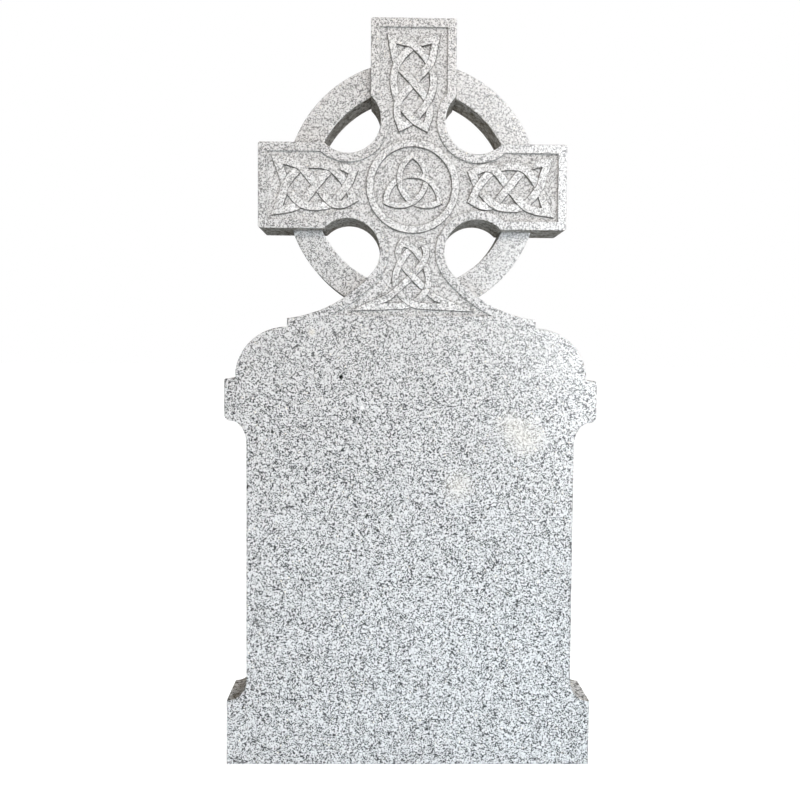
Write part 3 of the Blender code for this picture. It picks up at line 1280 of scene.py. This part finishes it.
@dataclass(frozen=True)
class Softbox:
    """A rectangular area light that is aimed at a point.

    Attributes:
        name: Its name.
        place: Where it hangs.
        aim: The point that it looks at.
        width: Its width.
        height: Its height.
        power: Its power, in watts.
        colour: Its colour.
        mirrored: Whether smooth stone mirrors it.
        scattered: Whether it lights the stone.
    """

    name: str
    place: Vector
    aim: Vector
    width: float
    height: float
    power: float
    colour: Colour = WHITE
    mirrored: bool = True
    scattered: bool = True

    def build(self) -> None:
        """Hang the light."""
        bpy.ops.object.light_add(type="AREA", location=self.place)
        obj = bpy.context.object
        obj.name = self.name
        obj.rotation_euler = (self.aim - self.place).to_track_quat("-Z", "Y").to_euler()
        obj.data.shape = "RECTANGLE"
        obj.data.size = self.width
        obj.data.size_y = self.height
        obj.data.energy = self.power
        obj.data.color = self.colour
        obj.visible_glossy = self.mirrored
        obj.visible_diffuse = self.scattered
        obj.visible_camera = False


@dataclass(frozen=True)
class Studio:
    """The camera, the lights, the world and the floor.

    Attributes:
        place: Where the camera stands.
        yaw: How far it turns to the right of straight ahead.
        pitch: How far it looks up.
        roll: How far it leans.
        focal_pixels: Its focal length, in pixels of the photo.
        photo_width: The photo's width, in pixels.
        sensor: Width of its sensor, in millimetres.
        floor_radius: Radius of the floor.
        floor_sides: How many sides the floor has.
        floor_glow: How strongly the floor glows.
        floor_rough: Roughness of the floor.
        floor_colour: Colour of the floor.
        lit_from: The direction that most of the world's light comes from.
        lit_span: How far a direction leans that way where the light sets in, and where it is full.
        bright: The world's light from there.
        dark: The world's light from elsewhere.
        softboxes: The lights.
    """

    place: Vector = Vector((-0.04516, -1.57778, 0.6893))
    yaw: float = math.radians(1.01)
    pitch: float = math.radians(-2.77)
    roll: float = math.radians(0.44)
    focal_pixels: float = 924.39
    photo_width: float = 800.0
    sensor: float = 36.0
    floor_radius: float = 60.0
    floor_sides: int = 64
    floor_glow: float = 0.95
    floor_rough: float = 0.9
    floor_colour: Colour = (0.30, 0.30, 0.30)
    lit_from: Vector = Vector((0.86, -0.10, 0.50))
    lit_span: Point = (-0.35, 0.75)
    bright: Colour = (0.64, 0.64, 0.64)
    dark: Colour = (0.088, 0.072, 0.048)
    softboxes: tuple[Softbox, ...] = (
        Softbox(
            "key", place=Vector((0.1, -2.6, 2.0)), aim=Vector((0.0, 0.0, 0.5)), width=1.0, height=0.8,
            power=29.0, colour=(1.0, 0.89, 0.82), mirrored=False,
        ),
        Softbox(
            "fill", place=Vector((-0.25, -2.1, 0.55)), aim=Vector((0.0, 0.0, 0.5)), width=1.8,
            height=1.0, power=26.0, colour=(0.90, 0.94, 0.99), mirrored=False,
        ),
        Softbox(
            "low", place=Vector((0.2, -0.7, 0.1)), aim=Vector((0.0, 0.0, 0.05)), width=1.4,
            height=0.15, power=3.9, colour=(0.68, 0.86, 1.0), mirrored=False,
        ),
        Softbox(
            "veil", place=Vector((1.7, -2.6, 1.7)), aim=Vector((0.3, 0.0, 0.9)), width=1.8, height=3.2,
            power=340.0, colour=(0.92, 0.96, 1.0), scattered=False,
        ),
        Softbox(
            "back", place=Vector((0.7, 2.4, 3.6)), aim=Vector((0.0, 0.0, 0.5)), width=1.2, height=1.2,
            power=55.0, mirrored=False,
        ),
    )

    def build(self) -> None:
        """Set everything up and look through the camera."""
        self.camera()
        self.world()
        self.floor()
        for softbox in self.softboxes:
            softbox.build()
        bpy.context.scene.view_settings.view_transform = "Standard"

    def camera(self) -> None:
        """Place the camera where the photo was taken from."""
        bpy.ops.object.camera_add()
        obj = bpy.context.object
        level = math.cos(self.pitch)
        ahead = Vector((math.sin(self.yaw) * level, math.cos(self.yaw) * level, math.sin(self.pitch)))
        right = Vector((math.cos(self.yaw), -math.sin(self.yaw), 0.0))
        up = right.cross(ahead)
        leant = right * math.cos(self.roll) + up * math.sin(self.roll)
        upright = up * math.cos(self.roll) - right * math.sin(self.roll)
        obj.matrix_world = Matrix((leant, upright, -ahead)).transposed().to_4x4()
        obj.location = self.place
        obj.data.sensor_width = self.sensor
        obj.data.lens = self.focal_pixels / self.photo_width * self.sensor
        bpy.context.scene.camera = obj

    def world(self) -> None:
        """Light the stone more from the upper right than elsewhere, in front of pure white."""
        world = bpy.data.worlds.new("studio")
        world.use_nodes = True
        graph = Graph(world.node_tree)
        way = graph.add("TexCoord").outputs["Generated"]
        lean = graph.add("VectorMath", {0: way, 1: self.lit_from}, operation="DOT_PRODUCT")
        share = graph.step(lean.outputs["Value"], *self.lit_span)
        light = graph.mix(share, rgba(self.dark), rgba(self.bright))
        seen = graph.add("LightPath").outputs["Is Camera Ray"]
        lit = graph.add("Background", {"Color": light})
        white = graph.add("Background", {"Color": rgba(WHITE)})
        both = graph.add("MixShader", {0: seen, 1: lit.outputs[0], 2: white.outputs[0]})
        graph.add("OutputWorld", {0: both.outputs[0]})
        bpy.context.scene.world = world

    def floor(self) -> None:
        """Lay a pale floor that glows, and so shows only a trace of the stone's shadow."""
        bpy.ops.mesh.primitive_circle_add(
            vertices=self.floor_sides, radius=self.floor_radius, fill_type="NGON",
        )
        obj = bpy.context.object
        obj.name = "floor"
        material = bpy.data.materials.new("floor")
        material.use_nodes = True
        graph = Graph(material.node_tree)
        shader = graph.add("BsdfPrincipled", {
            "Base Color": rgba(self.floor_colour), "Roughness": self.floor_rough,
            "Specular IOR Level": 0.0, "Emission Color": rgba(WHITE), "Emission Strength": self.floor_glow,
        })
        graph.add("OutputMaterial", {0: shader.outputs[0]})
        obj.data.materials.append(material)
        obj.visible_diffuse = False
        obj.visible_glossy = False
        obj.visible_shadow = False


def main() -> None:
    """Build the stone and the studio."""
    logging.basicConfig(level=logging.INFO, format="%(message)s")
    stone = Headstone().build()
    LOG.info("%s: %d faces, finished", stone.name, len(stone.data.polygons))
    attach(stone, BODY)
    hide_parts(NODE)
    Studio().build()


if __name__ == "__main__":
    main()
